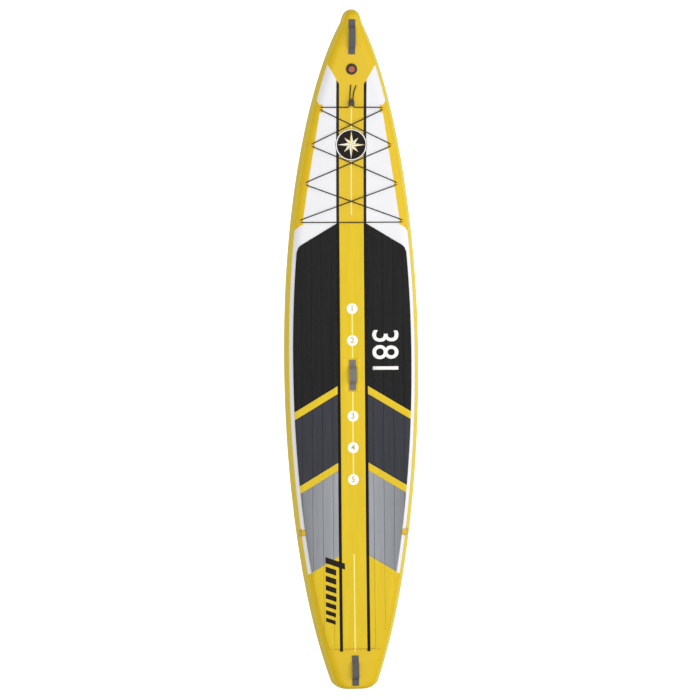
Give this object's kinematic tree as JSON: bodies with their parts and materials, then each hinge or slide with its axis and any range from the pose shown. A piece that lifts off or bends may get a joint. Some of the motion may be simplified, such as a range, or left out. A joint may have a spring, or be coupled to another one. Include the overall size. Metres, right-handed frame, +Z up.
{
  "type": "stand up paddleboard",
  "caption": "Inflatable touring paddleboard with foam deck pads, carry handles, front bungee, valve, side rings and a sliding centre fin.",
  "frame": {"origin": "middle of the level stretch of the hull's bottom, half way along the board", "axes": "+Y to the nose, +X to starboard, +Z up from the deck"},
  "size_m": [0.7618, 3.8094, 0.5297],
  "materials": {
    "yellow_pvc": "semi-gloss coated fabric",
    "rail_pvc": "semi-gloss coated fabric",
    "black_foam": "matte brushed foam",
    "dark_grey_foam": "matte brushed foam",
    "light_grey_foam": "matte grooved foam",
    "yellow_foam": "matte foam",
    "core_fabric": "woven polyester",
    "webbing_grey": "woven webbing",
    "webbing_yellow": "woven webbing",
    "cord_black": "braided cord",
    "black_plastic": "moulded",
    "valve_plastic": "moulded",
    "orange_plastic": "satin",
    "seal_rubber": "matte",
    "steel": "brushed stainless",
    "brass": "satin",
    "fin_plastic": "moulded"
  },
  "bodies": {
    "hull": {"deck_skin": "yellow_pvc", "bottom_skin": "yellow_pvc", "side_wall_left": "yellow_pvc", "side_wall_right": "yellow_pvc", "rail_band_left": "rail_pvc", "rail_band_right": "rail_pvc", "drop_stitch_core_nose": "core_fabric", "drop_stitch_core_middle": "core_fabric", "drop_stitch_core_tail": "core_fabric", "front_pad_left": "black_foam", "front_pad_right": "black_foam", "middle_pad_left": "dark_grey_foam", "middle_pad_right": "dark_grey_foam", "rear_pad_left": "light_grey_foam", "rear_pad_right": "light_grey_foam", "front_chevron_left": "yellow_foam", "front_chevron_right": "yellow_foam", "rear_chevron_left": "yellow_foam", "rear_chevron_right": "yellow_foam", "tail_pad_left": "yellow_foam", "tail_pad_right": "yellow_foam", "centre_pad": "yellow_foam", "pinstripe_left": "black_foam", "pinstripe_right": "black_foam", "nose_handle_strap": "webbing_grey", "tail_handle_strap": "webbing_grey", "centre_handle_strap": "webbing_grey", "centre_handle_padding": "black_foam", "nose_handle_patches": "yellow_pvc", "tail_handle_patches": "yellow_pvc", "centre_handle_patches": "yellow_pvc", "bungee_cord": "cord_black", "bungee_loops": "webbing_yellow", "bungee_patches": "yellow_pvc", "cord_lock_barrel": "black_plastic", "cord_lock_spring": "steel", "valve_body": "valve_plastic", "valve_nut": "valve_plastic", "valve_gasket": "seal_rubber", "valve_spring": "steel", "cap_hinge_pin": "steel", "side_patch_left": "yellow_pvc", "side_patch_right": "yellow_pvc", "side_loop_left": "webbing_yellow", "side_loop_right": "webbing_yellow", "fin_box_patch": "yellow_pvc", "fin_box": "black_plastic"},
    "valve_cap_strap": {"cap_strap": "valve_plastic"},
    "valve_cap": {"valve_cap": "valve_plastic", "cap_label": "orange_plastic", "cap_o_ring": "seal_rubber"},
    "valve_stem": {"valve_stem": "valve_plastic", "valve_disc": "seal_rubber"},
    "cord_lock_plunger": {"cord_lock_plunger": "black_plastic"},
    "side_ring_left": {"side_ring_left": "steel"},
    "side_ring_right": {"side_ring_right": "steel"},
    "fin": {"fin": "fin_plastic", "fin_pin": "brass", "fin_nut_plate": "steel"},
    "fin_screw": {"fin_screw": "steel"}
  },
  "joints": [
    {"name": "cap_flip", "type": "hinge", "parent": "hull", "child": "valve_cap_strap", "pos_m": [0, 1.59839, 0.2536], "axis": [-1, 0, 0], "range_deg": [0, 150]},
    {"name": "cap_turn", "type": "hinge", "parent": "valve_cap_strap", "child": "valve_cap", "pos_m": [0, 1.571, 0.24177], "axis": [0, -0.17, 0.9854], "range_deg": [0, 90]},
    {"name": "stem_press", "type": "slide", "parent": "hull", "child": "valve_stem", "axis": [0, 0.17, -0.9854], "range_m": [0, 0.005], "stiffness_N_per_m": 400, "springref_m": -0.004, "deforming": ["valve_spring"]},
    {"name": "lock_press", "type": "slide", "parent": "hull", "child": "cord_lock_plunger", "axis": [0, 0.138, -0.9904], "range_m": [0, 0.003], "stiffness_N_per_m": 600, "springref_m": -0.003, "deforming": ["cord_lock_spring"]},
    {"name": "ring_swing_right", "type": "hinge", "parent": "hull", "child": "side_ring_right", "pos_m": [0.28997, -1.024, 0.14527], "axis": [0, -1, 0], "range_deg": [0, 120]},
    {"name": "ring_swing_left", "type": "hinge", "parent": "hull", "child": "side_ring_left", "pos_m": [-0.28997, -1.024, 0.14527], "axis": [0, 1, 0], "range_deg": [0, 120]},
    {"name": "fin_slide", "type": "slide", "parent": "hull", "child": "fin", "axis": [0, 0.9988, -0.0489], "range_m": [-0.02, 0.02]},
    {"name": "fin_screw_turn", "type": "hinge", "parent": "fin", "child": "fin_screw", "pos_m": [0, -1.37955, -0.02003], "axis": [0, -0.0489, -0.9988], "continuous": true}
  ]
}
